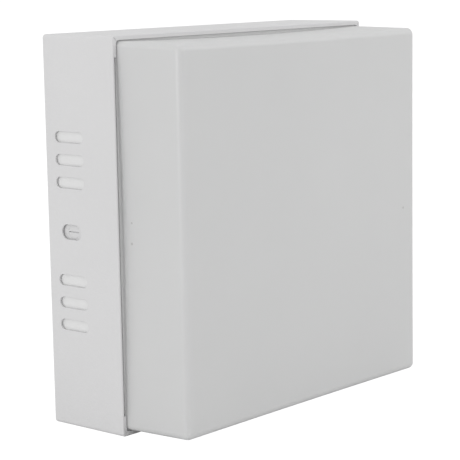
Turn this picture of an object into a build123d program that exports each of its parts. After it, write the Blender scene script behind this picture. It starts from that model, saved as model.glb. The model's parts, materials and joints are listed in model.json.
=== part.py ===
from build123d import *
import math
import os

# Square surface-mounted ceiling light: a folded steel housing with vent slots, an opal block
# diffuser clipped into its front, a gear tray with LED strips and driver inside, and a ceiling
# bracket with two side lock screws.
# Frame: the ceiling face is the plane y = 0, seen along -Y; the light shines towards -Y; the two
# slotted walls are at the -X and +X sides; millimetres.

# ---------------------------------------------------------------- driving dimensions

side = 170.0                # housing, outside, in x and z
housing_depth = 42.0        # ceiling face to front rim
diffuser_stand = 34.5       # how far the diffuser stands out of the front rim
sheet = 0.8                 # housing and tray sheet
rim_lip = 2.0               # front return lip, measured from the outside
rear_hem = 4.0
corner_radius = 1.6
fold_radius = 0.6           # outside of the front fold

vent_centre_y = -14.2
vent_length = 17.0
vent_height = 4.8
vent_pitch = 9.8
vent_first_z = 21.2         # nearest vent row on each side of the screw hole
vent_reach = 50.0           # half height of the region that holds every opening
opening_lift = 0.8          # the screw hole and the vents sit this far above the middle
side_hole_length = 11.7
side_hole_height = 6.5

diffuser_half = 82.7        # half width at the diffuser's rear rim, at a corner
diffuser_front_half = 81.9
diffuser_bow = 1.6          # how far each side of the rear rim draws in at its middle
diffuser_front_bow = 0.1
diffuser_wall = 2.2
diffuser_rear_corner = 2.0
diffuser_front_corner = 3.0
side_lip_length = 9.0       # the side walls keep the lip only this far from each corner
mouth_corner = 1.6          # inner corner of the housing's front lip
diffuser_front_round = 2.8
diffuser_rear_y = -33.2
diffuser_rib_half = 82.88   # straight rib around the cover, in line with the housing's lip
diffuser_rib_y = (-41.2, -40.0)
diffuser_rib_corner = 1.9

tray_front_y = -31.8        # front face of the tray plate
tray_half_x = 83.7          # outside of the flanges behind the vents
tray_half_z = 82.8
tray_flange_rear_y = -3.0
tray_short_flange_y = -24.0
tray_notch_half = 10.0
tray_notch_front_y = -22.0

bracket_sheet = 1.2
bracket_half_x = 83.5       # outside of the end tabs
bracket_width = 24.0
tab_width = 16.0
tab_depth = 20.0
ceiling_slot_spacing = 90.0
ceiling_slot_length = 22.0
ceiling_slot_width = 5.0
cable_hole_radius = 6.0

lock_thread_radius = 3.0
lock_clearance = 0.05
lock_recess = 0.02          # end tab's outside to the screw's end, when released
lock_length = 9.0

strip_rows = (-57.0, -19.0, 19.0, 57.0)
strip_length = 146.0
strip_width = 12.0
strip_thickness = 1.0
leds_per_strip = 8
led_pitch = 18.0
led_size = (3.5, 0.75, 2.8)

clip_x = 40.0
clip_width = 10.0
clip_sheet = 0.4
clip_foot_z = 70.0

driver_centre_z = 36.0
driver_length = 100.0
driver_width = 40.0
driver_height = 22.0
driver_wall = 1.6
driver_ear = 8.0

terminal_x = -22.0
wiring_z = -32.0
clamp_x = 16.0
earth_x = -54.0
grommet_x = 66.0
grommet_z = 38.0

lug_x = 60.0
lug_thickness = 1.0
lug_screw_z = 76.5
strip_screw_x = 69.0
driver_screw_x = driver_length / 2 + driver_ear / 2
clamp_screw_pitch = 18.0
bracket_earth_x = 18.0
mains_entry_x = -40.0
transformer_x = 8.0
board_thickness = 1.6

link_radius = 0.7
lead_radius = 1.1
lead_pitch = 5.0

pole_pitch = 9.0
pole_body_half = 8.5
terminal_height = 13.0
terminal_screw_offset = 4.2
sleeve_radius = 2.8
sleeve_bore = 1.8

half = side / 2
front_y = -housing_depth
diffuser_front_y = front_y - diffuser_stand
tray_rear_y = tray_front_y + sheet
strip_front_y = tray_front_y - strip_thickness
driver_low_z = driver_centre_z - driver_width / 2
driver_high_z = driver_centre_z + driver_width / 2
driver_top_y = tray_rear_y + driver_height
driver_split_y = driver_top_y - 5.0
board_y = tray_rear_y + 5.0
board_top_y = board_y + board_thickness
entry_y = tray_rear_y + 10.0
sleeve_y = tray_rear_y + 6.0
ring_low_y = tray_rear_y + 0.9
ring_high_y = ring_low_y + 0.8
ring_neck_z = wiring_z + 10.0


# ---------------------------------------------------------------- helpers

def save(name, *solids):
    """Write one node, as one solid or as a group of separate solids."""
    shape = solids[0] if len(solids) == 1 else Compound(list(solids))
    export_step(shape, os.path.join("parts", name + ".step"))


def block(x, y, z):
    """Box between the low and high limits given for each axis."""
    size = (x[1] - x[0], y[1] - y[0], z[1] - z[0])
    centre = ((x[0] + x[1]) / 2, (y[0] + y[1]) / 2, (z[0] + z[1]) / 2)
    return Pos(*centre) * Box(*size)


def rod_y(radius, x, z, y_from, y_to):
    """Round bar along Y."""
    length = y_to - y_from
    return Pos(x, (y_from + y_to) / 2, z) * Rot(90, 0, 0) * Cylinder(radius, length)


def rod_x(radius, y, z, x_from, x_to):
    """Round bar along X."""
    length = x_to - x_from
    return Pos((x_from + x_to) / 2, y, z) * Rot(0, 90, 0) * Cylinder(radius, length)


def rod_z(radius, x, y, z_from, z_to):
    """Round bar along Z."""
    return Pos(x, y, (z_from + z_to) / 2) * Cylinder(radius, z_to - z_from)


def front_plane(y):
    """Sketch plane at one depth: sketch x is +X, sketch y is +Z, normal is -Y."""
    return Plane(origin=(0, y, 0), x_dir=(1, 0, 0), z_dir=(0, -1, 0))


def prism_y(outline, y_from, y_to):
    """Straight prism of an outline from one depth (rear) to a smaller one (front)."""
    return extrude(front_plane(y_from) * outline, y_from - y_to)


def slot_x(y, z, length, height, x_from, x_to):
    """Obround bar along X; its long side runs in Y."""
    plane = Plane(origin=(x_from, y, z), x_dir=(0, 1, 0), z_dir=(1, 0, 0))
    return extrude(plane * SlotOverall(length, height), x_to - x_from)


def pan_screw(x, z, seat_y, head_side, radius, length, head_radius, head_height):
    """Pan head screw along Y; the head stands on the seat, towards head_side (+1 or -1)."""
    tip_y = seat_y - head_side * length
    top_y = seat_y + head_side * head_height
    shank = rod_y(radius, x, z, min(seat_y, tip_y), max(seat_y, tip_y))
    head = rod_y(head_radius, x, z, min(seat_y, top_y), max(seat_y, top_y))
    top_edges = head.edges().filter_by(GeomType.CIRCLE).sort_by(Axis.Y)
    head = fillet(top_edges[-1] if head_side > 0 else top_edges[0], head_height * 0.55)
    slot_reach = head_height * 0.5
    arm = head_radius * 0.55
    thin = head_radius * 0.12
    cut_y = (min(top_y, top_y - head_side * slot_reach), max(top_y, top_y - head_side * slot_reach))
    cross = block((x - arm, x + arm), cut_y, (z - thin, z + thin))
    cross += block((x - thin, x + thin), cut_y, (z - arm, z + arm))
    return head + shank - cross


def wire(points, radius, largest_bend):
    """Insulated lead along straight runs joined by tangent arcs, each as large as its runs allow."""
    corners = [Vector(*point) for point in points]
    bends = []
    for before, corner, after in zip(corners, corners[1:], corners[2:]):
        turn = math.radians((corner - before).get_angle(after - corner))
        shorter = min((corner - before).length, (after - corner).length)
        bends.append(min(largest_bend, 0.45 * shorter / math.tan(turn / 2)))
    path = FilletPolyline(*points, radius=bends)
    start = Plane(origin=path @ 0, z_dir=path % 0)
    return sweep(start * Circle(radius), path=path)


# ---------------------------------------------------------------- housing and its lugs

def vent_rows():
    """Heights of the vent slots, three above and three below the side hole."""
    rows = [vent_first_z + vent_pitch * n for n in range(3)]
    return [opening_lift + z for z in rows] + [opening_lift - z for z in rows]


def make_housing():
    """Folded box: four walls, a front lip with short side returns, rear hems, side openings."""
    shell = prism_y(RectangleRounded(side, side, corner_radius), 0, front_y)
    shell = fillet(shell.edges().group_by(Axis.Y)[0], fold_radius)
    inner = side - 2 * sheet
    hollow = prism_y(RectangleRounded(inner, inner, corner_radius - sheet), 0, front_y + sheet)
    mouth_width = side - 2 * rim_lip
    mouth = prism_y(RectangleRounded(mouth_width, mouth_width, mouth_corner), front_y + 5, front_y - 5)
    shell = shell - hollow - mouth
    open_half = half - side_lip_length
    for sx in (1, -1):
        x = sorted((sx * (half - sheet), sx * (half - rim_lip - 1)))
        shell -= block(x, (front_y - 1, front_y + sheet + 0.1), (-open_half, open_half))
    # the rear edges of the top and bottom walls are folded back inside as a closed hem
    for up in (1, -1):
        z = sorted((up * (half - sheet), up * (half - 2 * sheet)))
        shell += block((-half + 3, half - 3), (-rear_hem, 0), z)
    folds = [e for e in shell.edges().filter_by(Axis.X)
             if abs(e.center().Y) < 0.01 and abs(abs(e.center().Z) - half) < 0.01]
    shell = fillet(folds, 0.6)
    # mitred seams of the front lip
    for sx in (1, -1):
        for sz in (1, -1):
            seam = Pos(sx * (half - 2.2), front_y + 0.4, sz * (half - 2.2)) * Rot(0, 45 * sx * sz, 0)
            shell -= seam * Box(0.2, 1.0, 4.2)
    for x_from in (-half - 1, half - 2):
        for z in vent_rows():
            shell -= slot_x(vent_centre_y, z, vent_length, vent_height, x_from, x_from + 3)
        shell -= slot_x(vent_centre_y, opening_lift, side_hole_length, side_hole_height, x_from, x_from + 3)
    # the punched openings have a small roll-over on the outside
    openings = [e for e in shell.edges()
                if abs(abs(e.center().X) - half) < 0.01 and abs(e.center().Z) < vent_reach
                and front_y + 10 < e.center().Y < -2]
    return fillet(openings, 0.2)


def make_tray_lugs():
    """Four angle lugs, spot-welded to the top and bottom walls, that the tray screws into."""
    lugs = []
    wall = half - sheet
    for sx in (1, -1):
        for sz in (1, -1):
            x = (sx * lug_x - 7, sx * lug_x + 7)
            foot = block(x, (tray_front_y - 8, tray_front_y), sorted((sz * wall, sz * (wall - 1))))
            tab = block(x, (tray_front_y - lug_thickness, tray_front_y),
                        sorted((sz * wall, sz * 71.5)))
            lug = foot + tab
            bend = [e for e in lug.edges().filter_by(Axis.X)
                    if abs(e.center().Y - tray_front_y) < 0.01
                    and abs(abs(e.center().Z) - wall) < 0.01]
            lug = fillet(bend, 0.8)
            lugs.append(lug - rod_y(1.25, sx * lug_x, sz * lug_screw_z, -40, -20))
    return lugs


# ---------------------------------------------------------------- gear tray and what is on its front

def clip_places():
    return [(sx * clip_x, sz) for sx in (1, -1) for sz in (1, -1)]


def make_gear_tray():
    """Pan folded rearwards: tall flanges behind the vents, notched for the bracket tabs."""
    outline = RectangleRounded(2 * tray_half_x, 2 * tray_half_z, 1.2)
    tray = prism_y(outline, tray_flange_rear_y, tray_front_y)
    tray = fillet(tray.edges().group_by(Axis.Y)[0], 1.1)
    inner = RectangleRounded(2 * (tray_half_x - sheet), 2 * (tray_half_z - sheet), 0.4)
    hollow = prism_y(inner, 0, tray_rear_y)
    hollow = fillet(hollow.edges().group_by(Axis.Y)[0], 0.3)
    tray -= hollow
    for up in (1, -1):
        z = sorted((up * (tray_half_z - 3), up * (tray_half_z + 1)))
        tray -= block((-half, half), (tray_short_flange_y, 0), z)
        for sx in (1, -1):
            x = sorted((sx * (tray_half_x - 2.2), sx * (tray_half_x + 1)))
            tray -= block(x, (tray_rear_y + 0.4, 0), z)
    for sx in (1, -1):
        x = sorted((sx * (tray_half_x - 4), sx * (tray_half_x + 1)))
        tray -= block(x, (tray_notch_front_y, 0), (-tray_notch_half, tray_notch_half))
    holes = [(sx * lug_x, sz * lug_screw_z, 1.7) for sx in (1, -1) for sz in (1, -1)]
    holes += [(sx * strip_screw_x, z, 1.25) for sx in (1, -1) for z in strip_rows]
    holes += [(x, sz * clip_foot_z, 1.6) for x, sz in clip_places()]
    holes += [(sx * driver_screw_x, driver_centre_z, 1.25) for sx in (1, -1)]
    holes += [(clamp_x + s * clamp_screw_pitch / 2, wiring_z, 1.25) for s in (1, -1)]
    holes += [(terminal_x, wiring_z, 1.25), (earth_x, wiring_z, 2.0), (grommet_x, grommet_z, 5.0)]
    for x, z, radius in holes:
        tray -= rod_y(radius, x, z, tray_front_y - 1, tray_rear_y + 1)
    return tray


def make_tray_screws():
    places = [(sx * lug_x, sz * lug_screw_z) for sx in (1, -1) for sz in (1, -1)]
    return [pan_screw(x, z, tray_rear_y, 1, 1.25, 6.0, 2.8, 1.8) for x, z in places]


def make_led_boards():
    """Aluminium strips with a screw hole near each end."""
    boards = []
    for z in strip_rows:
        board = prism_y(Pos(0, z) * RectangleRounded(strip_length, strip_width, 1.0),
                        tray_front_y, strip_front_y)
        for sx in (1, -1):
            board -= rod_y(1.25, sx * strip_screw_x, z, -40, -20)
        boards.append(board)
    return boards


def make_led_chips():
    """Surface-mount LEDs: a white body with a shallow round-cornered window of phosphor."""
    chips = []
    width, height, depth = led_size
    for z in strip_rows:
        for n in range(leds_per_strip):
            x = (n - (leds_per_strip - 1) / 2) * led_pitch
            body = block((x - width / 2, x + width / 2), (strip_front_y - height, strip_front_y),
                         (z - depth / 2, z + depth / 2))
            window = Pos(x, z) * RectangleRounded(width - 0.8, depth - 0.7, 0.5)
            y = strip_front_y - height
            chips.append(body - prism_y(window, y + 0.2, y - 1))
    return chips


def make_board_screws():
    places = [(sx * strip_screw_x, z) for sx in (1, -1) for z in strip_rows]
    return [pan_screw(x, z, strip_front_y, -1, 1.25, 4.5, 2.4, 1.5) for x, z in places]


def make_board_links():
    """Pairs of short wires that join each strip to the next, at the left end."""
    links = []
    y = strip_front_y - link_radius
    for low_row, high_row in zip(strip_rows, strip_rows[1:]):
        low = low_row + 3.5
        high = high_row - 3.5
        for x, sway in ((-64.5, -1.5), (-60.5, 1.5)):
            points = [(x, y, low), (x, y, low + 5), (x + sway, y, (low + high) / 2),
                      (x, y, high - 5), (x, y, high)]
            links.append(wire(points, link_radius, 6.0))
    return links


def make_reflector_sheet():
    """White film on the tray, with a window for every strip, clip, lug, screw tip and lead."""
    film = prism_y(RectangleRounded(152, 152, 3.0), tray_front_y, tray_front_y - 0.3)
    for z in strip_rows:
        film -= prism_y(Pos(0, z) * RectangleRounded(strip_length + 1, strip_width + 1, 1.5),
                        -20, -40)
    for x, sz in clip_places():
        film -= prism_y(Pos(x, sz * 74) * RectangleRounded(clip_width + 2, 20, 1.0), -20, -40)
    for sx in (1, -1):
        for sz in (1, -1):
            film -= prism_y(Pos(sx * lug_x, sz * 78) * RectangleRounded(18, 16, 1.0), -20, -40)
    film -= rod_y(8.0, grommet_x, grommet_z, -40, -20)
    tips = [(sx * driver_screw_x, driver_centre_z) for sx in (1, -1)]
    tips += [(clamp_x + s * clamp_screw_pitch / 2, wiring_z) for s in (1, -1)]
    tips += [(terminal_x, wiring_z), (earth_x, wiring_z)]
    for x, z in tips:
        film -= rod_y(4.0, x, z, -40, -20)
    return film


# ---------------------------------------------------------------- diffuser and its clips

def bowed_square(half_width, bow, radius):
    """Square outline with sides that draw in towards their middles and rounded corners."""
    corners = [(half_width, -half_width), (half_width, half_width),
               (-half_width, half_width), (-half_width, -half_width)]
    middle = half_width - bow
    middles = [(middle, 0), (0, middle), (-middle, 0), (0, -middle)]
    arcs = []
    for n in range(4):
        arcs.append(ThreePointArc(corners[n], middles[n], corners[(n + 1) % 4]))
    outline = make_face(Curve() + arcs)
    return fillet(outline.vertices(), radius)


def diffuser_form(inset):
    """Solid form of the cover: straight-sided at the front, drawn in between its rear corners."""
    rear_corner = max(diffuser_rear_corner - inset, 0.5)
    front_corner = max(diffuser_front_corner - inset, 0.8)
    rear = bowed_square(diffuser_half - inset, diffuser_bow, rear_corner)
    front = bowed_square(diffuser_front_half - inset, diffuser_front_bow, front_corner)
    sections = [front_plane(diffuser_rear_y) * rear, front_plane(diffuser_front_y + inset) * front]
    form = loft(sections, ruled=True)
    return fillet(form.edges().group_by(Axis.Y)[0], diffuser_front_round - inset)


def make_diffuser():
    """Opal block cover: one moulded cup, open at the rear, with a locating rib inside the rim."""
    rib_outline = RectangleRounded(2 * diffuser_rib_half, 2 * diffuser_rib_half, diffuser_rib_corner)
    rib = prism_y(rib_outline, diffuser_rib_y[1], diffuser_rib_y[0])
    return diffuser_form(0) + rib - diffuser_form(diffuser_wall)


def clip_wall(x):
    """Height of the diffuser's inner wall face over the clip, at the rear rim."""
    inner_half = diffuser_half - diffuser_wall
    rise = diffuser_bow * (x / inner_half) ** 2
    return inner_half - diffuser_bow + rise


def make_diffuser_clips():
    """Spring steel clips: a riveted foot and a leaf whose rolled nose presses on the wall."""
    clips = []
    nose = clip_wall(clip_x - clip_width / 2) - 0.25
    foot_y = tray_front_y - clip_sheet / 2
    for x, sz in clip_places():
        profile = FilletPolyline((foot_y, 65.0), (foot_y, nose - 2.2), (foot_y - 3.4, nose - 1.6),
                                 (foot_y - 6.2, nose - clip_sheet / 2),
                                 (foot_y - 8.6, nose - 2.6), radius=0.8)
        plane = Plane(origin=(x - clip_width / 2, 0, 0), x_dir=(0, 1, 0), z_dir=(1, 0, 0))
        leaf = extrude(plane * trace(profile, clip_sheet), clip_width)
        leaf -= rod_y(1.6, x, clip_foot_z, -40, -20)
        clips.append(leaf if sz > 0 else mirror(leaf, about=Plane.XY))
    return clips


def make_clip_rivets():
    """Blind rivets, one through each clip foot and the tray."""
    rivets = []
    front = tray_front_y - clip_sheet
    for x, sz in clip_places():
        z = sz * clip_foot_z
        head = rod_y(3.0, x, z, front - 0.8, front)
        head = fillet(head.edges().filter_by(GeomType.CIRCLE).sort_by(Axis.Y)[0], 0.5)
        barrel = rod_y(1.6, x, z, front, tray_rear_y)
        tail = rod_y(2.4, x, z, tray_rear_y, tray_rear_y + 1.6)
        tail = fillet(tail.edges().filter_by(GeomType.CIRCLE).sort_by(Axis.Y)[-1], 0.7)
        rivets.append(head + barrel + tail)
    return rivets


# ---------------------------------------------------------------- driver

def mains_leads_x():
    """Places of the two mains leads where they enter the driver case."""
    return (mains_entry_x, mains_entry_x + lead_pitch)


def output_leads_z():
    """Places of the two output leads where they leave the driver case."""
    return (grommet_z - lead_pitch / 2, grommet_z + lead_pitch / 2)


def make_driver_base():
    """Tub of the driver case, with a screw ear at each end and four board posts."""
    hl = driver_length / 2
    tub = block((-hl, hl), (tray_rear_y, driver_split_y), (driver_low_z, driver_high_z))
    tub = fillet(tub.edges().filter_by(Axis.Y), 2.5)
    tub -= block((-hl + driver_wall, hl - driver_wall), (tray_rear_y + driver_wall, 0),
                 (driver_low_z + driver_wall, driver_high_z - driver_wall))
    for sx in (1, -1):
        ear_outline = Pos(sx * hl, driver_centre_z) * RectangleRounded(2 * driver_ear, 14, 3.0)
        ear = prism_y(ear_outline, tray_rear_y + 2.4, tray_rear_y)
        keep = block(sorted((sx * (hl - 0.5), sx * (hl + 20))), (-40, 0), (0, 80))
        tub += ear & keep
        tub -= rod_y(1.7, sx * driver_screw_x, driver_centre_z, -40, 0)
        for sz in (1, -1):
            tub += rod_y(2.2, sx * (hl - 8), driver_centre_z + sz * 13, tray_rear_y + 0.5, board_y)
    for x in mains_leads_x():
        tub -= rod_z(lead_radius + 0.1, x, entry_y, driver_low_z - 5, driver_low_z + 5)
    for z in output_leads_z():
        tub -= rod_x(lead_radius + 0.1, entry_y, z, hl - 5, hl + 5)
    return tub


def make_driver_cover():
    """Lid of the driver case, with a locating lip inside the tub and vent ribs on top."""
    hl = driver_length / 2
    lid = block((-hl, hl), (driver_split_y, driver_top_y), (driver_low_z, driver_high_z))
    lid = fillet(lid.edges().filter_by(Axis.Y), 2.5)
    lid = fillet(lid.edges().group_by(Axis.Y)[-1], 1.0)
    lid -= block((-hl + driver_wall, hl - driver_wall), (driver_split_y - 1, driver_top_y - driver_wall),
                 (driver_low_z + driver_wall, driver_high_z - driver_wall))
    gap = 0.1
    outer = RectangleRounded(driver_length - 2 * driver_wall - 2 * gap,
                             driver_width - 2 * driver_wall - 2 * gap, 0.8)
    inner = RectangleRounded(driver_length - 2 * driver_wall - 2.4,
                             driver_width - 2 * driver_wall - 2.4, 0.4)
    lip = prism_y(Pos(0, driver_centre_z) * outer, driver_split_y + 1.5, driver_split_y - 2.0)
    lip -= prism_y(Pos(0, driver_centre_z) * inner, driver_split_y + 2, driver_split_y - 3)
    bridge = prism_y(Pos(0, driver_centre_z) * RectangleRounded(driver_length - 2, driver_width - 2, 2.0),
                     driver_split_y + 1.5, driver_split_y)
    bridge -= prism_y(Pos(0, driver_centre_z) * inner, driver_split_y + 2, driver_split_y - 1)
    lid = lid + lip + bridge
    for n in range(7):
        x = 14.0 + 4.0 * n
        groove = Pos(x, driver_centre_z) * SlotOverall(24, 1.6, rotation=90)
        lid -= prism_y(groove, driver_top_y + 1, driver_top_y - 0.7)
    return lid


def make_driver_screws():
    seat = tray_rear_y + 2.4
    return [pan_screw(sx * driver_screw_x, driver_centre_z, seat, 1, 1.25, 6.0, 2.8, 1.8)
            for sx in (1, -1)]


def make_driver_board():
    outline = Pos(0, driver_centre_z) * RectangleRounded(driver_length - 6, driver_width - 6, 1.0)
    return prism_y(outline, board_top_y, board_y)


def make_transformer_core():
    """Ferrite core standing on edge: a closed frame with a middle leg."""
    z = (driver_centre_z - 2.4, driver_centre_z + 2.4)
    low = board_top_y
    core = block((transformer_x - 8, transformer_x + 8), (low + 1.0, low + 12.4), z)
    for s in (1, -1):
        window = sorted((transformer_x + s * 2.2, transformer_x + s * 5.6))
        core -= block(window, (low + 3.4, low + 10.0), (z[0] - 1, z[1] + 1))
    return core


def make_transformer_bobbin():
    """Winding around the middle leg, on two pin rails."""
    z = driver_centre_z
    low = board_top_y
    coil = block((transformer_x - 5.5, transformer_x + 5.5), (low + 3.5, low + 9.9), (z - 6.4, z + 6.4))
    coil = fillet(coil.edges().filter_by(Axis.Y), 2.0)
    coil -= block((transformer_x - 2.25, transformer_x + 2.25), (low, low + 12), (z - 2.45, z + 2.45))
    for s in (1, -1):
        coil += block((transformer_x - 7.5, transformer_x + 7.5), (low, low + 3.6),
                      sorted((z + s * 3.0, z + s * 7.2)))
    return coil


def upright_capacitor(x, z, radius, height):
    """Electrolytic can with a rolled groove near its base and a rounded top."""
    can = rod_y(radius, x, z, board_top_y, board_top_y + height)
    can = fillet(can.edges().filter_by(GeomType.CIRCLE).sort_by(Axis.Y)[-1], 0.6)
    groove_y = board_top_y + 1.8
    groove = Pos(x, groove_y, z) * Rot(90, 0, 0) * Torus(radius + 0.25, 0.6)
    return can - groove


def make_driver_capacitors():
    return [upright_capacitor(-22.0, driver_centre_z + 6, 4.0, 10.5),
            upright_capacitor(-12.0, driver_centre_z - 6, 4.0, 10.5),
            upright_capacitor(36.0, driver_centre_z + 4, 4.8, 11.0)]


def make_film_capacitor():
    z = driver_centre_z - 7
    body = block((-33, -20), (board_top_y, board_top_y + 9), (z - 3, z + 3))
    return fillet(body.edges().filter_by(Axis.Y) + body.edges().group_by(Axis.Y)[-1], 0.6)


def make_driver_choke():
    """Drum core choke: two flanges with a winding between them."""
    x = -38.0
    z = driver_centre_z + 9
    drum = rod_y(4.0, x, z, board_top_y, board_top_y + 1.6)
    drum += rod_y(3.2, x, z, board_top_y + 1.0, board_top_y + 8.0)
    drum += rod_y(4.0, x, z, board_top_y + 7.4, board_top_y + 9.0)
    return drum


def make_driver_rectifier():
    z = driver_centre_z + 8
    body = block((-14, -6), (board_top_y, board_top_y + 2.6), (z - 3.2, z + 3.2))
    return chamfer(body.edges().group_by(Axis.Y)[-1], 0.4)


def make_driver_fuse():
    """Fusible resistor lying on the board, with its two bent leads."""
    z = driver_centre_z - 12
    y = board_top_y + 2.0
    body = rod_x(1.8, y, z, 26, 35)
    body = fillet(body.edges().filter_by(GeomType.CIRCLE), 0.8)
    lead = wire([(22.5, board_top_y, z), (22.5, y, z), (38.5, y, z), (38.5, board_top_y, z)], 0.35, 0.8)
    return body + lead


# ---------------------------------------------------------------- mains terminals, clamp and earth

def pole_places():
    """Live, earth and neutral poles, from left to right."""
    return [terminal_x + pole_pitch * n for n in (-1, 0, 1)]


def make_terminal_block():
    """Three-pole block: joined humps, bored for the sleeves, with a well above each screw."""
    base_half = 1.5 * pole_pitch
    body = block((terminal_x - base_half, terminal_x + base_half), (tray_rear_y, tray_rear_y + 9),
                 (wiring_z - pole_body_half, wiring_z + pole_body_half))
    for x in pole_places():
        hump = block((x - 3.4, x + 3.4), (tray_rear_y, tray_rear_y + terminal_height),
                     (wiring_z - pole_body_half, wiring_z + pole_body_half))
        body += fillet(hump.edges().group_by(Axis.Y)[-1].filter_by(Axis.Z), 1.2)
        body -= rod_z(sleeve_radius, x, sleeve_y, wiring_z - 20, wiring_z + 20)
        for s in (1, -1):
            z = wiring_z + s * terminal_screw_offset
            body -= rod_y(2.1, x, z, sleeve_y, 0)
    return body - rod_y(1.25, terminal_x, wiring_z, tray_rear_y - 1, tray_rear_y + 2.8)


def make_terminal_sleeves():
    """Brass sleeves, each tapped twice from above."""
    sleeves = []
    for x in pole_places():
        sleeve = rod_z(sleeve_radius, x, sleeve_y, wiring_z - 7.5, wiring_z + 7.5)
        sleeve -= rod_z(sleeve_bore, x, sleeve_y, wiring_z - 9, wiring_z + 9)
        for s in (1, -1):
            sleeve -= rod_y(1.5, x, wiring_z + s * terminal_screw_offset, sleeve_y, 0)
        sleeves.append(sleeve)
    return sleeves


def make_terminal_screws():
    """Slotted clamping screws, two in each sleeve."""
    screws = []
    for x in pole_places():
        for s in (1, -1):
            z = wiring_z + s * terminal_screw_offset
            screw = rod_y(1.5, x, z, sleeve_y + 1.0, sleeve_y + 4.4)
            screw += rod_y(2.0, x, z, sleeve_y + 3.4, sleeve_y + 5.4)
            screw -= block((x - 3, x + 3), (sleeve_y + 4.8, 0), (z - 0.3, z + 0.3))
            screws.append(screw)
    return screws


def make_earth_stud():
    """Stud pressed through the tray beside the terminals."""
    stud = rod_y(2.0, earth_x, wiring_z, tray_front_y, tray_rear_y + 11)
    head = rod_y(3.2, earth_x, wiring_z, tray_front_y - 1.0, tray_front_y)
    return chamfer(stud.edges().group_by(Axis.Y)[-1], 0.4) + head


def make_earth_washer():
    """Toothed washer under the ring terminal."""
    ring = rod_y(4.0, earth_x, wiring_z, tray_rear_y, ring_low_y)
    ring -= rod_y(2.05, earth_x, wiring_z, -40, 0)
    for n in range(10):
        notch = Rot(0, 36 * n, 0) * Pos(4.1, 0, 0) * Rot(90, 0, 0) * Cylinder(0.45, 60)
        ring -= Pos(earth_x, 0, wiring_z) * notch
    return ring


def make_earth_nut():
    """Hexagon nut with its flange, over the ring terminal."""
    hexagon = Pos(earth_x, wiring_z) * RegularPolygon(3.5, 6, major_radius=False)
    nut = prism_y(hexagon, ring_high_y + 3.2, ring_high_y)
    nut += rod_y(4.2, earth_x, wiring_z, ring_high_y, ring_high_y + 0.8)
    return nut - rod_y(2.05, earth_x, wiring_z, -40, 0)


def make_earth_ring():
    """Crimped ring terminal on the earth stud."""
    eye = rod_y(4.0, earth_x, wiring_z, ring_low_y, ring_high_y)
    neck = block((earth_x - 1.6, earth_x + 1.6), (ring_low_y, ring_high_y), (wiring_z, ring_neck_z - 3))
    barrel = rod_z(1.7, earth_x, ring_low_y + 1.7, ring_neck_z - 4, ring_neck_z + 3)
    return eye + neck + barrel - rod_y(2.05, earth_x, wiring_z, -40, 0)


def make_cable_clamp():
    """Moulded saddle that grips the mains cable against the tray."""
    bar = block((clamp_x - 13, clamp_x + 13), (tray_rear_y + 4.6, tray_rear_y + 8.0),
                (wiring_z - 4.5, wiring_z + 4.5))
    bar = fillet(bar.edges().filter_by(Axis.Y), 3.0)
    crown = Pos(clamp_x, tray_rear_y + 4.6, wiring_z) * Cylinder(6.2, 9.0)
    crown &= block((clamp_x - 8, clamp_x + 8), (tray_rear_y + 4.6, 0), (wiring_z - 5, wiring_z + 5))
    bar += crown
    bar -= Pos(clamp_x, tray_rear_y + 4.2, wiring_z) * Cylinder(3.6, 20)
    for s in (1, -1):
        x = clamp_x + s * clamp_screw_pitch / 2
        post = rod_y(2.6, x, wiring_z, tray_rear_y, tray_rear_y + 5)
        bar += post
        bar -= rod_y(1.6, x, wiring_z, -40, 0)
    return bar


def make_clamp_screws():
    seat = tray_rear_y + 8.0
    return [pan_screw(clamp_x + s * clamp_screw_pitch / 2, wiring_z, seat, 1, 1.25, 11.0, 2.6, 1.8)
            for s in (1, -1)]


def make_terminal_screw():
    """Screw that holds the terminal block, from the tray's front."""
    return pan_screw(terminal_x, wiring_z, tray_front_y, -1, 1.25, 3.6, 2.4, 1.0)


# ---------------------------------------------------------------- leads

def mains_lead(pole, case_x):
    """Lead from a pole's inner mouth up into the driver case."""
    start_z = wiring_z + 8.6
    end_z = driver_low_z + 8
    points = [(pole, sleeve_y, start_z), (pole, sleeve_y + 1.0, start_z + 8),
              (case_x, entry_y, driver_low_z - 12), (case_x, entry_y, end_z)]
    return wire(points, lead_radius, 12.0)


def make_live_lead():
    return mains_lead(pole_places()[0], mains_leads_x()[0])


def make_neutral_lead():
    return mains_lead(pole_places()[2], mains_leads_x()[1])


def make_earth_lead():
    """Lead from the middle pole, over to the ring terminal."""
    pole = pole_places()[1]
    start_z = wiring_z - 8.6
    y = ring_low_y + 1.7
    points = [(pole, sleeve_y, start_z), (pole - 1, sleeve_y, start_z - 9), (pole - 18, y, start_z - 14),
              (earth_x + 12, y, wiring_z - 10), (earth_x + 9, y, wiring_z + 12),
              (earth_x, y, ring_neck_z + 14), (earth_x, y, ring_neck_z + 3)]
    return wire(points, lead_radius, 4.0)


def make_output_lead(z, x_on_front):
    """Output lead: along the tray's rear, forward through the grommet and up to the top strip."""
    pad_y = strip_front_y - lead_radius
    pad_z = strip_rows[-1] - 3.0
    points = [(driver_length / 2 - 6, entry_y, z), (grommet_x, entry_y, z),
              (grommet_x, pad_y - 3.2, z)]
    if x_on_front > grommet_x:
        points.append((x_on_front, pad_y - 2.2, z + 8))
    return wire(points + [(x_on_front, pad_y, pad_z)], lead_radius, 3.0)


def make_positive_lead():
    return make_output_lead(output_leads_z()[1], grommet_x)


def make_negative_lead():
    return make_output_lead(output_leads_z()[0], grommet_x + 3.5)


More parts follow.
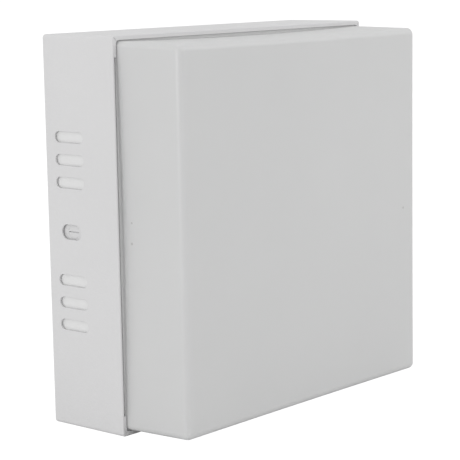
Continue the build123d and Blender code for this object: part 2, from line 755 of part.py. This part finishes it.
def make_lead_grommet():
    """Rubber grommet with a groove around the tray's edge and one slot for both leads."""
    outer = rod_y(6.6, grommet_x, grommet_z, tray_front_y - 1.4, tray_rear_y + 1.4)
    outer = fillet(outer.edges().filter_by(GeomType.CIRCLE), 0.6)
    groove = rod_y(8.0, grommet_x, grommet_z, tray_front_y, tray_rear_y)
    groove -= rod_y(5.0, grommet_x, grommet_z, tray_front_y - 1, tray_rear_y + 1)
    slot = Pos(grommet_x, grommet_z) * SlotOverall(lead_pitch + 2 * lead_radius + 0.2,
                                                   2 * lead_radius + 0.2, rotation=90)
    return outer - groove - prism_y(slot, -20, -40)


# ---------------------------------------------------------------- ceiling bracket and lock screws

def make_ceiling_bracket():
    """Strap with a folded tab at each end, two slots for the ceiling screws and a cable hole."""
    strap_outline = RectangleRounded(2 * bracket_half_x - 8, bracket_width, 3.0)
    strap = prism_y(strap_outline, 0, -bracket_sheet)
    for sx in (1, -1):
        root = block(sorted((sx * (bracket_half_x - 10), sx * bracket_half_x)), (-bracket_sheet, 0),
                     (-tab_width / 2, tab_width / 2))
        tab = block(sorted((sx * (bracket_half_x - bracket_sheet), sx * bracket_half_x)),
                    (-tab_depth, 0), (-tab_width / 2, tab_width / 2))
        tab = fillet(tab.edges().filter_by(Axis.X).group_by(Axis.Y)[0], 3.0)
        corner = root + tab
        bend = [e for e in corner.edges().filter_by(Axis.Z)
                if abs(e.center().Y) < 0.01 and abs(abs(e.center().X) - bracket_half_x) < 0.01]
        strap += fillet(bend, 1.4)
        strap -= rod_x(lock_thread_radius, vent_centre_y, opening_lift, sx * bracket_half_x - 5,
                       sx * bracket_half_x + 5)
        slot = Pos(sx * ceiling_slot_spacing / 2, 0) * SlotOverall(ceiling_slot_length,
                                                                   ceiling_slot_width)
        strap -= prism_y(slot, 1, -5)
    strap -= rod_y(cable_hole_radius, 0, 0, -5, 1)
    strap -= rod_y(1.65, bracket_earth_x, 0, -5, 1)
    return strap


def make_bracket_earth_screw():
    """Earth screw for the house wiring, on the strap's lamp side."""
    screw = pan_screw(bracket_earth_x, 0, -bracket_sheet - 0.8, -1, 1.65, 2.0, 3.4, 2.0)
    washer = rod_y(4.4, bracket_earth_x, 0, -bracket_sheet - 0.8, -bracket_sheet)
    return screw + washer


def make_lock_screw(sx):
    """Slotted grub screw: it backs out of the tab until its end stands in the side hole."""
    outer = bracket_half_x - lock_recess
    inner = outer - lock_length
    screw = rod_x(lock_thread_radius - lock_clearance, vent_centre_y, opening_lift, inner, outer)
    screw = chamfer(screw.edges().filter_by(GeomType.CIRCLE).sort_by(Axis.X)[0], 0.6)
    screw -= block((outer - 0.8, outer + 1), (vent_centre_y - 5, vent_centre_y + 5),
                   (opening_lift - 0.25, opening_lift + 0.25))
    return screw if sx > 0 else mirror(screw, about=Plane.YZ)


# ---------------------------------------------------------------- write the nodes

os.makedirs("parts", exist_ok=True)

save("housing", make_housing())
save("tray_lugs", *make_tray_lugs())
save("gear_tray", make_gear_tray())
save("tray_screws", *make_tray_screws())
save("led_boards", *make_led_boards())
save("led_chips", *make_led_chips())
save("board_screws", *make_board_screws())
save("board_links", *make_board_links())
save("reflector_sheet", make_reflector_sheet())
save("diffuser", make_diffuser())
save("diffuser_clips", *make_diffuser_clips())
save("clip_rivets", *make_clip_rivets())
save("driver_base", make_driver_base())
save("driver_cover", make_driver_cover())
save("driver_screws", *make_driver_screws())
save("driver_board", make_driver_board())
save("transformer_core", make_transformer_core())
save("transformer_bobbin", make_transformer_bobbin())
save("driver_capacitors", *make_driver_capacitors())
save("film_capacitor", make_film_capacitor())
save("driver_choke", make_driver_choke())
save("driver_rectifier", make_driver_rectifier())
save("driver_fuse", make_driver_fuse())
save("terminal_block", make_terminal_block())
save("terminal_sleeves", *make_terminal_sleeves())
save("terminal_screws", *make_terminal_screws())
save("terminal_block_screw", make_terminal_screw())
save("cable_clamp", make_cable_clamp())
save("clamp_screws", *make_clamp_screws())
save("earth_stud", make_earth_stud())
save("earth_washer", make_earth_washer())
save("earth_nut", make_earth_nut())
save("earth_ring", make_earth_ring())
save("live_lead", make_live_lead())
save("neutral_lead", make_neutral_lead())
save("earth_lead", make_earth_lead())
save("positive_lead", make_positive_lead())
save("negative_lead", make_negative_lead())
save("lead_grommet", make_lead_grommet())
save("ceiling_bracket", make_ceiling_bracket())
save("bracket_earth_screw", make_bracket_earth_screw())
save("left_lock_screw", make_lock_screw(-1))
save("right_lock_screw", make_lock_screw(1))
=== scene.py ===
import json
import math

import bmesh
import bpy
from mathutils import Matrix, Vector


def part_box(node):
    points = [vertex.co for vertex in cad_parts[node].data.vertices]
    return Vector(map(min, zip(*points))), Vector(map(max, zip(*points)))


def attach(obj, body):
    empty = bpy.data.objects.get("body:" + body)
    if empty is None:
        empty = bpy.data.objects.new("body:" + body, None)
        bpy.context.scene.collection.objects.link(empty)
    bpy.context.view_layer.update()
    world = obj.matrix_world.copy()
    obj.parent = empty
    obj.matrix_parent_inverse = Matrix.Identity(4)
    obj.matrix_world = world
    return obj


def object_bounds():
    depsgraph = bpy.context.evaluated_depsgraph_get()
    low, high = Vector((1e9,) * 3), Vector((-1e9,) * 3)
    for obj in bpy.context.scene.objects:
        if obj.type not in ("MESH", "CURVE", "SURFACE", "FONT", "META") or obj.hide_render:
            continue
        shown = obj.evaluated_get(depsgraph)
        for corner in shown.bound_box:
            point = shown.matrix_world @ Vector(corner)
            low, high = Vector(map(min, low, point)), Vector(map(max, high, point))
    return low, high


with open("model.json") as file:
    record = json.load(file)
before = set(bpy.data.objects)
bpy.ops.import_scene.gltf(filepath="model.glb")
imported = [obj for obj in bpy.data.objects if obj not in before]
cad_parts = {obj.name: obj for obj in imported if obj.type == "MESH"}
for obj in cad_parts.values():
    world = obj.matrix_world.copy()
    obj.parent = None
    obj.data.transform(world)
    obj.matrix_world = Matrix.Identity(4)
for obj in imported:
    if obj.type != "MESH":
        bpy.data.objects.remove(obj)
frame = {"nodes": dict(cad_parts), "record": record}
cad_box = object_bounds()
nodes = frame["nodes"]

# ---------------------------------------------------------------- small helpers

MM = 0.001


def link_object(name, mesh):
    """Put a new mesh object in the scene."""
    piece = bpy.data.objects.new(name, mesh)
    bpy.context.scene.collection.objects.link(piece)
    return piece


def mesh_from(name, build):
    """Make a mesh object from a function that fills a bmesh."""
    bm = bmesh.new()
    build(bm)
    bmesh.ops.recalc_face_normals(bm, faces=bm.faces)
    mesh = bpy.data.meshes.new(name)
    bm.to_mesh(mesh)
    bm.free()
    for polygon in mesh.polygons:
        polygon.use_smooth = True
    return link_object(name, mesh)


# ---------------------------------------------------------------- materials

def empty_tree(owner):
    """Turn on the nodes of a material or a world, and clear them."""
    owner.use_nodes = True
    tree = owner.node_tree
    tree.nodes.clear()
    return tree


def new_material(name):
    """Material with an output and a Principled shader, and no other node yet."""
    material = bpy.data.materials.new(name)
    tree = empty_tree(material)
    output = tree.nodes.new("ShaderNodeOutputMaterial")
    shader = tree.nodes.new("ShaderNodeBsdfPrincipled")
    tree.links.new(shader.outputs["BSDF"], output.inputs["Surface"])
    return material, tree, shader


def object_noise(tree, scale, detail):
    """Noise in object space, so it stays put on the piece; scale is in cycles per metre."""
    coordinates = tree.nodes.new("ShaderNodeTexCoord")
    noise = tree.nodes.new("ShaderNodeTexNoise")
    noise.inputs["Scale"].default_value = scale
    noise.inputs["Detail"].default_value = detail
    noise.inputs["Roughness"].default_value = 0.55
    tree.links.new(coordinates.outputs["Object"], noise.inputs["Vector"])
    return noise


def ramp(tree, source, stops):
    """Colour ramp over a factor; stops are (place, colour)."""
    node = tree.nodes.new("ShaderNodeValToRGB")
    elements = node.color_ramp.elements
    while len(elements) < len(stops):
        elements.new(0.5)
    for element, (place, colour) in zip(elements, stops):
        element.position = place
        element.color = (*colour, 1.0)
    tree.links.new(source, node.inputs["Fac"])
    return node


def spread(tree, source, low, high):
    """Map a 0 to 1 factor to a range of numbers."""
    node = tree.nodes.new("ShaderNodeMapRange")
    node.inputs["To Min"].default_value = low
    node.inputs["To Max"].default_value = high
    tree.links.new(source, node.inputs["Value"])
    return node.outputs["Result"]


def bump(tree, shader, height, distance, before=None):
    """Add a bump of a height field, after another bump if one is given; distance is in metres."""
    node = tree.nodes.new("ShaderNodeBump")
    node.inputs["Strength"].default_value = 1.0
    node.inputs["Distance"].default_value = distance
    tree.links.new(height, node.inputs["Height"])
    if before is not None:
        tree.links.new(before.outputs["Normal"], node.inputs["Normal"])
    tree.links.new(node.outputs["Normal"], shader.inputs["Normal"])
    return node


SPECK_CELLS = 26.0        # cells per metre, with one speck in each
SPECK_REACH = 0.016       # radius of a speck, as a part of its cell: about 0.6 mm
SPECK_STRENGTH = 0.6


def specks(tree, base, speck_colour):
    """Dust specks in object space; only the few whose ball meets the surface show, as small discs."""
    coordinates = tree.nodes.new("ShaderNodeTexCoord")
    cells = tree.nodes.new("ShaderNodeTexVoronoi")
    cells.inputs["Scale"].default_value = SPECK_CELLS
    tree.links.new(coordinates.outputs["Object"], cells.inputs["Vector"])
    near = tree.nodes.new("ShaderNodeMath")
    near.operation = "LESS_THAN"
    near.inputs[1].default_value = SPECK_REACH
    tree.links.new(cells.outputs["Distance"], near.inputs[0])
    strength = tree.nodes.new("ShaderNodeMath")
    strength.operation = "MULTIPLY"
    strength.inputs[1].default_value = SPECK_STRENGTH
    tree.links.new(near.outputs["Value"], strength.inputs[0])
    mix = tree.nodes.new("ShaderNodeMix")
    mix.data_type = "RGBA"
    colour_in = [socket for socket in mix.inputs if socket.type == "RGBA"]
    colour_in[1].default_value = (*speck_colour, 1.0)
    tree.links.new(strength.outputs["Value"], mix.inputs["Factor"])
    tree.links.new(base, colour_in[0])
    return [socket for socket in mix.outputs if socket.type == "RGBA"][0]


def tinted(colour, amount):
    """A colour made a little lighter or darker."""
    return tuple(max(0.0, min(1.0, channel * amount)) for channel in colour)


def surface(name, colour, roughness, grain, grain_depth, vary, patch, metallic):
    """General procedural finish: patchy colour and roughness, and a fine grain in the normal."""
    material, tree, shader = new_material(name)
    patches = object_noise(tree, patch, detail=4.0)
    colours = ramp(tree, patches.outputs["Fac"],
                   [(0.3, tinted(colour, 1 - vary)), (0.7, tinted(colour, 1 + vary))])
    tree.links.new(colours.outputs["Color"], shader.inputs["Base Color"])
    tree.links.new(spread(tree, patches.outputs["Fac"], roughness - 0.04, roughness + 0.06),
                   shader.inputs["Roughness"])
    shader.inputs["Metallic"].default_value = metallic
    fine = object_noise(tree, grain, detail=2.0)
    bump(tree, shader, fine.outputs["Fac"], grain_depth)
    return material


def powder_coat(name, colour):
    """White polyester powder coat: soft sheen, fine orange peel, faint patches."""
    patch_scale = 14.0
    peel_scale = 900.0
    peel_depth = 0.00006
    grain_scale = 4200.0
    grain_depth = 0.00002
    vary = 0.02
    material, tree, shader = new_material(name)
    patches = object_noise(tree, patch_scale, detail=5.0)
    colours = ramp(tree, patches.outputs["Fac"],
                   [(0.25, tinted(colour, 1 - vary)), (0.75, tinted(colour, 1 + vary))])
    tree.links.new(colours.outputs["Color"], shader.inputs["Base Color"])
    tree.links.new(spread(tree, patches.outputs["Fac"], 0.42, 0.54), shader.inputs["Roughness"])
    shader.inputs["Specular IOR Level"].default_value = 0.45
    peel = object_noise(tree, peel_scale, detail=1.0)
    first = bump(tree, shader, peel.outputs["Fac"], peel_depth)
    grain = object_noise(tree, grain_scale, detail=2.0)
    bump(tree, shader, grain.outputs["Fac"], grain_depth, before=first)
    return material


def opal_acrylic():
    """Milky acrylic: light sinks in a few millimetres, under a soft gloss, with rare dust specks."""
    darker = (0.738, 0.740, 0.740)
    lighter = (0.758, 0.760, 0.759)
    dust = (0.48, 0.47, 0.46)
    patch_scale = 9.0
    grain_scale = 1400.0
    grain_depth = 0.000012
    material, tree, shader = new_material("opal_acrylic")
    patches = object_noise(tree, patch_scale, detail=4.0)
    colours = ramp(tree, patches.outputs["Fac"], [(0.3, darker), (0.7, lighter)])
    dusted = specks(tree, colours.outputs["Color"], dust)
    tree.links.new(dusted, shader.inputs["Base Color"])
    tree.links.new(spread(tree, patches.outputs["Fac"], 0.30, 0.38), shader.inputs["Roughness"])
    shader.inputs["IOR"].default_value = 1.49
    shader.inputs["Subsurface Weight"].default_value = 0.30
    shader.inputs["Subsurface Radius"].default_value = (1.0, 1.0, 1.05)
    shader.inputs["Subsurface Scale"].default_value = 0.003
    shader.inputs["Coat Weight"].default_value = 0.05
    shader.inputs["Coat Roughness"].default_value = 0.22
    fine = object_noise(tree, grain_scale, detail=2.0)
    bump(tree, shader, fine.outputs["Fac"], grain_depth)
    return material


def striped_insulation():
    """Green insulation with yellow stripes that run round it at a slant."""
    green = (0.06, 0.30, 0.05)
    yellow = (0.72, 0.60, 0.04)
    material, tree, shader = new_material("green_yellow_wire")
    coordinates = tree.nodes.new("ShaderNodeTexCoord")
    wave = tree.nodes.new("ShaderNodeTexWave")
    wave.bands_direction = "DIAGONAL"
    wave.inputs["Scale"].default_value = 130.0
    wave.inputs["Distortion"].default_value = 0.4
    tree.links.new(coordinates.outputs["Object"], wave.inputs["Vector"])
    colours = ramp(tree, wave.outputs["Fac"], [(0.42, green), (0.5, yellow)])
    tree.links.new(colours.outputs["Color"], shader.inputs["Base Color"])
    shader.inputs["Roughness"].default_value = 0.42
    return material


# Plain finishes: colour, roughness, grain in cycles per metre, grain depth in metres, variation of the
# colour, patches in cycles per metre, and whether it is a metal.
FINISHES = {
    "zinc_plate": ((0.60, 0.61, 0.62), 0.28, 2500.0, 0.00001, 0.06, 300.0, 1.0),
    "spring_steel": ((0.42, 0.42, 0.43), 0.26, 2500.0, 0.00001, 0.05, 200.0, 1.0),
    "aluminium_rivet": ((0.74, 0.74, 0.75), 0.33, 2500.0, 0.00001, 0.05, 300.0, 1.0),
    "brass": ((0.70, 0.50, 0.20), 0.25, 2500.0, 0.00001, 0.06, 300.0, 1.0),
    "tinned_copper": ((0.66, 0.65, 0.62), 0.24, 2500.0, 0.00001, 0.05, 300.0, 1.0),
    "solder": ((0.60, 0.60, 0.60), 0.30, 2200.0, 0.00002, 0.06, 300.0, 1.0),
    "white_solder_mask": ((0.80, 0.80, 0.79), 0.30, 1800.0, 0.00001, 0.02, 35.0, 0.0),
    "led_package": ((0.84, 0.83, 0.78), 0.38, 3000.0, 0.00001, 0.02, 35.0, 0.0),
    "phosphor": ((0.80, 0.62, 0.10), 0.30, 2600.0, 0.00001, 0.03, 35.0, 0.0),
    "white_wire": ((0.74, 0.74, 0.72), 0.42, 2000.0, 0.00001, 0.03, 35.0, 0.0),
    "white_film": ((0.84, 0.84, 0.84), 0.55, 1600.0, 0.00001, 0.01, 35.0, 0.0),
    "white_polycarbonate": ((0.74, 0.74, 0.72), 0.48, 1700.0, 0.00004, 0.02, 35.0, 0.0),
    "green_circuit_board": ((0.03, 0.16, 0.06), 0.34, 1800.0, 0.00001, 0.12, 60.0, 0.0),
    "ferrite": ((0.045, 0.045, 0.048), 0.55, 2600.0, 0.00004, 0.15, 200.0, 0.0),
    "yellow_tape": ((0.72, 0.50, 0.05), 0.35, 900.0, 0.00002, 0.06, 150.0, 0.0),
    "capacitor_sleeve": ((0.02, 0.03, 0.08), 0.30, 1500.0, 0.00001, 0.1, 35.0, 0.0),
    "film_capacitor_case": ((0.60, 0.36, 0.04), 0.36, 1500.0, 0.00001, 0.06, 35.0, 0.0),
    "black_package": ((0.02, 0.02, 0.02), 0.50, 2600.0, 0.00003, 0.15, 35.0, 0.0),
    "resistor_lacquer": ((0.14, 0.26, 0.42), 0.38, 1500.0, 0.00001, 0.06, 35.0, 0.0),
    "terminal_nylon": ((0.76, 0.76, 0.72), 0.44, 1500.0, 0.00002, 0.02, 35.0, 0.0),
    "black_nylon": ((0.025, 0.025, 0.025), 0.45, 1700.0, 0.00004, 0.15, 35.0, 0.0),
    "brown_wire": ((0.10, 0.04, 0.02), 0.40, 2000.0, 0.00001, 0.05, 35.0, 0.0),
    "blue_wire": ((0.02, 0.09, 0.42), 0.40, 2000.0, 0.00001, 0.05, 35.0, 0.0),
    "red_wire": ((0.42, 0.02, 0.015), 0.40, 2000.0, 0.00001, 0.05, 35.0, 0.0),
    "black_wire": ((0.02, 0.02, 0.02), 0.40, 2000.0, 0.00001, 0.05, 35.0, 0.0),
    "black_rubber": ((0.025, 0.025, 0.025), 0.65, 1400.0, 0.00004, 0.1, 35.0, 0.0),
}

MATERIALS = {name: surface(name, *finish) for name, finish in FINISHES.items()}
MATERIALS["white_powder_coat"] = powder_coat("white_powder_coat", (0.806, 0.803, 0.808))
# Painted light: the same white powder coat made lighter, for the tray and the lugs seen through the
# vents.
MATERIALS["lit_powder_coat"] = powder_coat("lit_powder_coat", (0.900, 0.900, 0.900))
MATERIALS["opal_acrylic"] = opal_acrylic()
MATERIALS["green_yellow_wire"] = striped_insulation()


# The tray and the lugs behind the vents carry a lighter copy of the powder coat: painted light, where
# light falls through the vents onto them.
PAINTED_LIGHT_NODES = ("gear_tray", "tray_lugs")


def dress_cad_nodes():
    """Give every CAD node the material of its slot in the record, except the tray and the lugs, which
    get the lighter copy of the powder coat as painted light.
    """
    for subpart in frame["record"]["subparts"]:
        node = subpart["node"]
        slot = "lit_powder_coat" if node in PAINTED_LIGHT_NODES else subpart["material_slot"]
        nodes[node].data.materials.clear()
        nodes[node].data.materials.append(MATERIALS[slot])


# ---------------------------------------------------------------- LED windows and solder joints

# The layout of the CAD's strips, links and leads, in millimetres.
STRIP_ROWS = (-57.0, -19.0, 19.0, 57.0)
STRIP_FRONT_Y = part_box("led_boards")[0][1] / MM
LED_FRONT_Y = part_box("led_chips")[0][1] / MM
LED_COUNT = 8
LED_PITCH = 18.0
LINK_XS = (-64.5, -60.5)
LINK_REACH = 3.5          # a link's end stands this far from its strip's middle
LEAD_ENDS = ((66.0, 54.0), (69.5, 54.0))

# Half width, half height, rise and squareness of each kind of pad, and how deep its base is sunk.
WINDOW_PAD = (1.34, 1.04, 0.22, 5.0)
WINDOW_SINK = 0.19
LINK_PAD = (1.35, 1.6, 1.25, 2.2)
LEAD_PAD = (1.5, 1.9, 1.7, 2.2)
SOLDER_SINK = 0.02


def ring(bm, centre, half_x, half_z, power, count=24):
    """Loop of vertices in a plane of constant y; a larger power squares the outline."""
    points = []
    for n in range(count):
        angle = 2 * math.pi * n / count
        c = math.cos(angle)
        s = math.sin(angle)
        x = centre[0] + half_x * math.copysign(abs(c) ** (2 / power), c)
        z = centre[2] + half_z * math.copysign(abs(s) ** (2 / power), s)
        points.append(bm.verts.new(Vector((x, centre[1], z)) * MM))
    return points


def crowned_pad(bm, centre, half_x, half_z, height, power):
    """Closed low dome that rises towards -Y from a flat base; lengths in millimetres."""
    rings = []
    steps = 6
    for n in range(steps):
        angle = 0.5 * math.pi * n / steps
        at = (centre[0], centre[1] - height * math.sin(angle), centre[2])
        rings.append(ring(bm, at, half_x * math.cos(angle), half_z * math.cos(angle), power))
    for lower, upper in zip(rings, rings[1:]):
        for n in range(len(lower)):
            after = (n + 1) % len(lower)
            bm.faces.new((lower[n], lower[after], upper[after], upper[n]))
    top = bm.verts.new(Vector((centre[0], centre[1] - height, centre[2])) * MM)
    for n in range(len(rings[-1])):
        bm.faces.new((rings[-1][n], rings[-1][(n + 1) % len(rings[-1])], top))
    bm.faces.new(rings[0])


def add_on_housing(name, finish, build):
    """Small piece that is fixed inside the housing."""
    piece = mesh_from(name, build)
    piece.data.materials.append(MATERIALS[finish])
    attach(piece, "housing")


def add_phosphor():
    """Domed yellow silicone in the window of every LED."""
    def build(bm):
        for z in STRIP_ROWS:
            for n in range(LED_COUNT):
                x = (n - (LED_COUNT - 1) / 2) * LED_PITCH
                crowned_pad(bm, (x, LED_FRONT_Y + WINDOW_SINK, z), *WINDOW_PAD)
    add_on_housing("led_phosphor", "phosphor", build)


def add_solder():
    """Solder joints where the links and the output leads meet the strips."""
    def build(bm):
        for low_row, high_row in zip(STRIP_ROWS, STRIP_ROWS[1:]):
            for x in LINK_XS:
                for z in (low_row + LINK_REACH, high_row - LINK_REACH):
                    crowned_pad(bm, (x, STRIP_FRONT_Y + SOLDER_SINK, z), *LINK_PAD)
        for x, z in LEAD_ENDS:
            crowned_pad(bm, (x, STRIP_FRONT_Y + SOLDER_SINK, z), *LEAD_PAD)
    add_on_housing("strip_solder", "solder", build)


# ---------------------------------------------------------------- stage, light and camera

FLOOR_HALF = 6.0
FLOOR_GAP = 0.0003        # keeps the floor clear of the lowest faces
FLOOR_GREY = 0.80
BACKDROP_GLOW = 1.1
AMBIENT = 0.68

# Name, place, target, side of the square in metres and power in watts.
LIGHTS = (
    ("key", (-1.0, 0.0, 0.12), (-0.08, -0.02, -0.06), 0.3, 1.42),
    ("front_fill", (0.75, -1.0, 0.6), (0.03, -0.07, 0.05), 0.9, 2.9),
    ("top_fill", (0.1, 0.1, 1.1), (0, -0.03, 0.08), 0.6, 1.0),
)


def camera_white(tree, other, white):
    """Surface that the camera sees as plain white and that other rays see as something else."""
    choose = tree.nodes.new("ShaderNodeMixShader")
    path = tree.nodes.new("ShaderNodeLightPath")
    tree.links.new(path.outputs["Is Camera Ray"], choose.inputs["Fac"])
    tree.links.new(other, choose.inputs[1])
    tree.links.new(white, choose.inputs[2])
    return choose.outputs["Shader"]


def add_floor(z):
    """Pale floor that meets the backdrop without an edge."""
    def build(bm):
        place = Matrix.Translation((0, 0, z))
        bmesh.ops.create_grid(bm, x_segments=1, y_segments=1, size=FLOOR_HALF, matrix=place)
    floor = mesh_from("floor", build)
    material = bpy.data.materials.new("pale_floor")
    tree = empty_tree(material)
    output = tree.nodes.new("ShaderNodeOutputMaterial")
    matt = tree.nodes.new("ShaderNodeBsdfDiffuse")
    matt.inputs["Color"].default_value = (FLOOR_GREY, FLOOR_GREY, FLOOR_GREY, 1.0)
    glow = tree.nodes.new("ShaderNodeEmission")
    glow.inputs["Strength"].default_value = BACKDROP_GLOW
    seen = camera_white(tree, matt.outputs["BSDF"], glow.outputs["Emission"])
    tree.links.new(seen, output.inputs["Surface"])
    floor.data.materials.append(material)


def add_world():
    """White backdrop for the camera, softer white for the light that falls on the object."""
    world = bpy.data.worlds.new("studio")
    bpy.context.scene.world = world
    tree = empty_tree(world)
    output = tree.nodes.new("ShaderNodeOutputWorld")
    ambient = tree.nodes.new("ShaderNodeBackground")
    ambient.inputs["Color"].default_value = (1.0, 1.0, 1.0, 1.0)
    ambient.inputs["Strength"].default_value = AMBIENT
    backdrop = tree.nodes.new("ShaderNodeBackground")
    backdrop.inputs["Color"].default_value = (1.0, 1.0, 1.0, 1.0)
    backdrop.inputs["Strength"].default_value = BACKDROP_GLOW
    seen = camera_white(tree, ambient.outputs["Background"], backdrop.outputs["Background"])
    tree.links.new(seen, output.inputs["Surface"])


def add_area_light(name, place, target, size, power):
    """Square soft box that faces a target."""
    data = bpy.data.lights.new(name, "AREA")
    data.shape = "SQUARE"
    data.size = size
    data.energy = power
    lamp = bpy.data.objects.new(name, data)
    bpy.context.scene.collection.objects.link(lamp)
    lamp.location = place
    lamp.rotation_euler = (Vector(target) - Vector(place)).to_track_quat("-Z", "Y").to_euler()


def add_camera():
    """Long lens from the front left, a little above, rolled by one degree."""
    azimuth = math.radians(-49.06)
    elevation = math.radians(8.91)
    roll = math.radians(-1.03)
    distance = 0.7766
    aim_right = -0.00345
    aim_up = -0.00726
    centre = Vector((0, -0.035, 0))
    back = Vector((math.sin(azimuth) * math.cos(elevation), -math.cos(azimuth) * math.cos(elevation),
                   math.sin(elevation)))
    level_right = (-back).cross(Vector((0, 0, 1))).normalized()
    level_up = level_right.cross(-back)
    right = math.cos(roll) * level_right + math.sin(roll) * level_up
    up = -math.sin(roll) * level_right + math.cos(roll) * level_up
    data = bpy.data.cameras.new("camera")
    data.sensor_width = 36.0
    data.lens = 132.87
    data.clip_start = 0.01
    data.clip_end = 50.0
    camera = bpy.data.objects.new("camera", data)
    bpy.context.scene.collection.objects.link(camera)
    place = centre + aim_right * right + aim_up * up + distance * back
    turn = Matrix((right, up, back)).transposed().to_4x4()
    camera.matrix_world = Matrix.Translation(place) @ turn
    bpy.context.scene.camera = camera


# ---------------------------------------------------------------- assembly

dress_cad_nodes()
add_phosphor()
add_solder()
add_floor(cad_box[0][2] - FLOOR_GAP)
add_world()
for light in LIGHTS:
    add_area_light(*light)
add_camera()
bpy.context.scene.view_settings.view_transform = "Standard"
